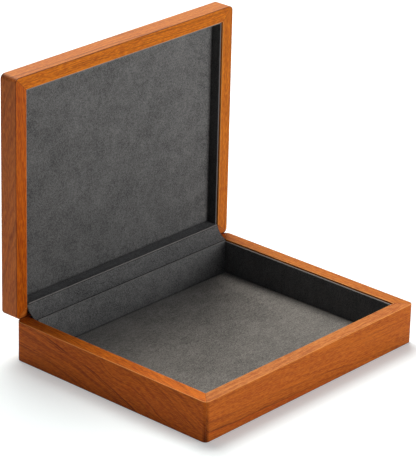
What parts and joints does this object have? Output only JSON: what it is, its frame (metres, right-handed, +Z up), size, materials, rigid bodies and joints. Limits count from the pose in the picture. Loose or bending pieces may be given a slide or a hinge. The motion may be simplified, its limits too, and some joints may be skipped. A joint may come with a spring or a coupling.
{
  "type": "hinged display case",
  "caption": "Shallow rectangular stained-wood display case with mitred corners, a hinged lid that stands open at a right angle and a dark suede lining.",
  "frame": {"origin": "centre of the base's underside", "axes": "+X along the width to the right, +Y to the hinged back, +Z up"},
  "size_m": [0.3, 0.2649, 0.2868],
  "materials": {
    "stained_wood": "satin, red-brown stain, fine straight grain",
    "plywood": "raw",
    "suede": "matt microfibre suede",
    "felt": "matt felt",
    "card": "raw grey board",
    "brass": "satin"
  },
  "bodies": {
    "base": {"base_front_rail": "stained_wood", "base_rear_rail": "stained_wood", "base_left_rail": "stained_wood", "base_right_rail": "stained_wood", "base_bottom_panel": "plywood", "underside_felt": "felt", "floor_board": "card", "floor_pad": "suede", "base_front_liner": "suede", "base_rear_liner": "suede", "base_left_liner": "suede", "base_right_liner": "suede", "left_base_leaf": "brass", "right_base_leaf": "brass", "base_hinge_screws": "brass", "hinge_pins": "brass", "hinge_gusset": "suede"},
    "lid": {"lid_front_rail": "stained_wood", "lid_rear_rail": "stained_wood", "lid_left_rail": "stained_wood", "lid_right_rail": "stained_wood", "lid_top_panel": "stained_wood", "lid_board": "card", "lid_pad": "suede", "lid_front_liner": "suede", "lid_rear_liner": "suede", "lid_left_liner": "suede", "lid_right_liner": "suede", "left_lid_leaf": "brass", "right_lid_leaf": "brass", "lid_hinge_screws": "brass"}
  },
  "joints": [
    {"name": "lid_hinge", "type": "hinge", "parent": "base", "child": "lid", "pos_m": [0, 0.1222, 0.0421], "axis": [1, 0, 0], "range_deg": [0, 90], "deforming": ["hinge_gusset"]}
  ]
}
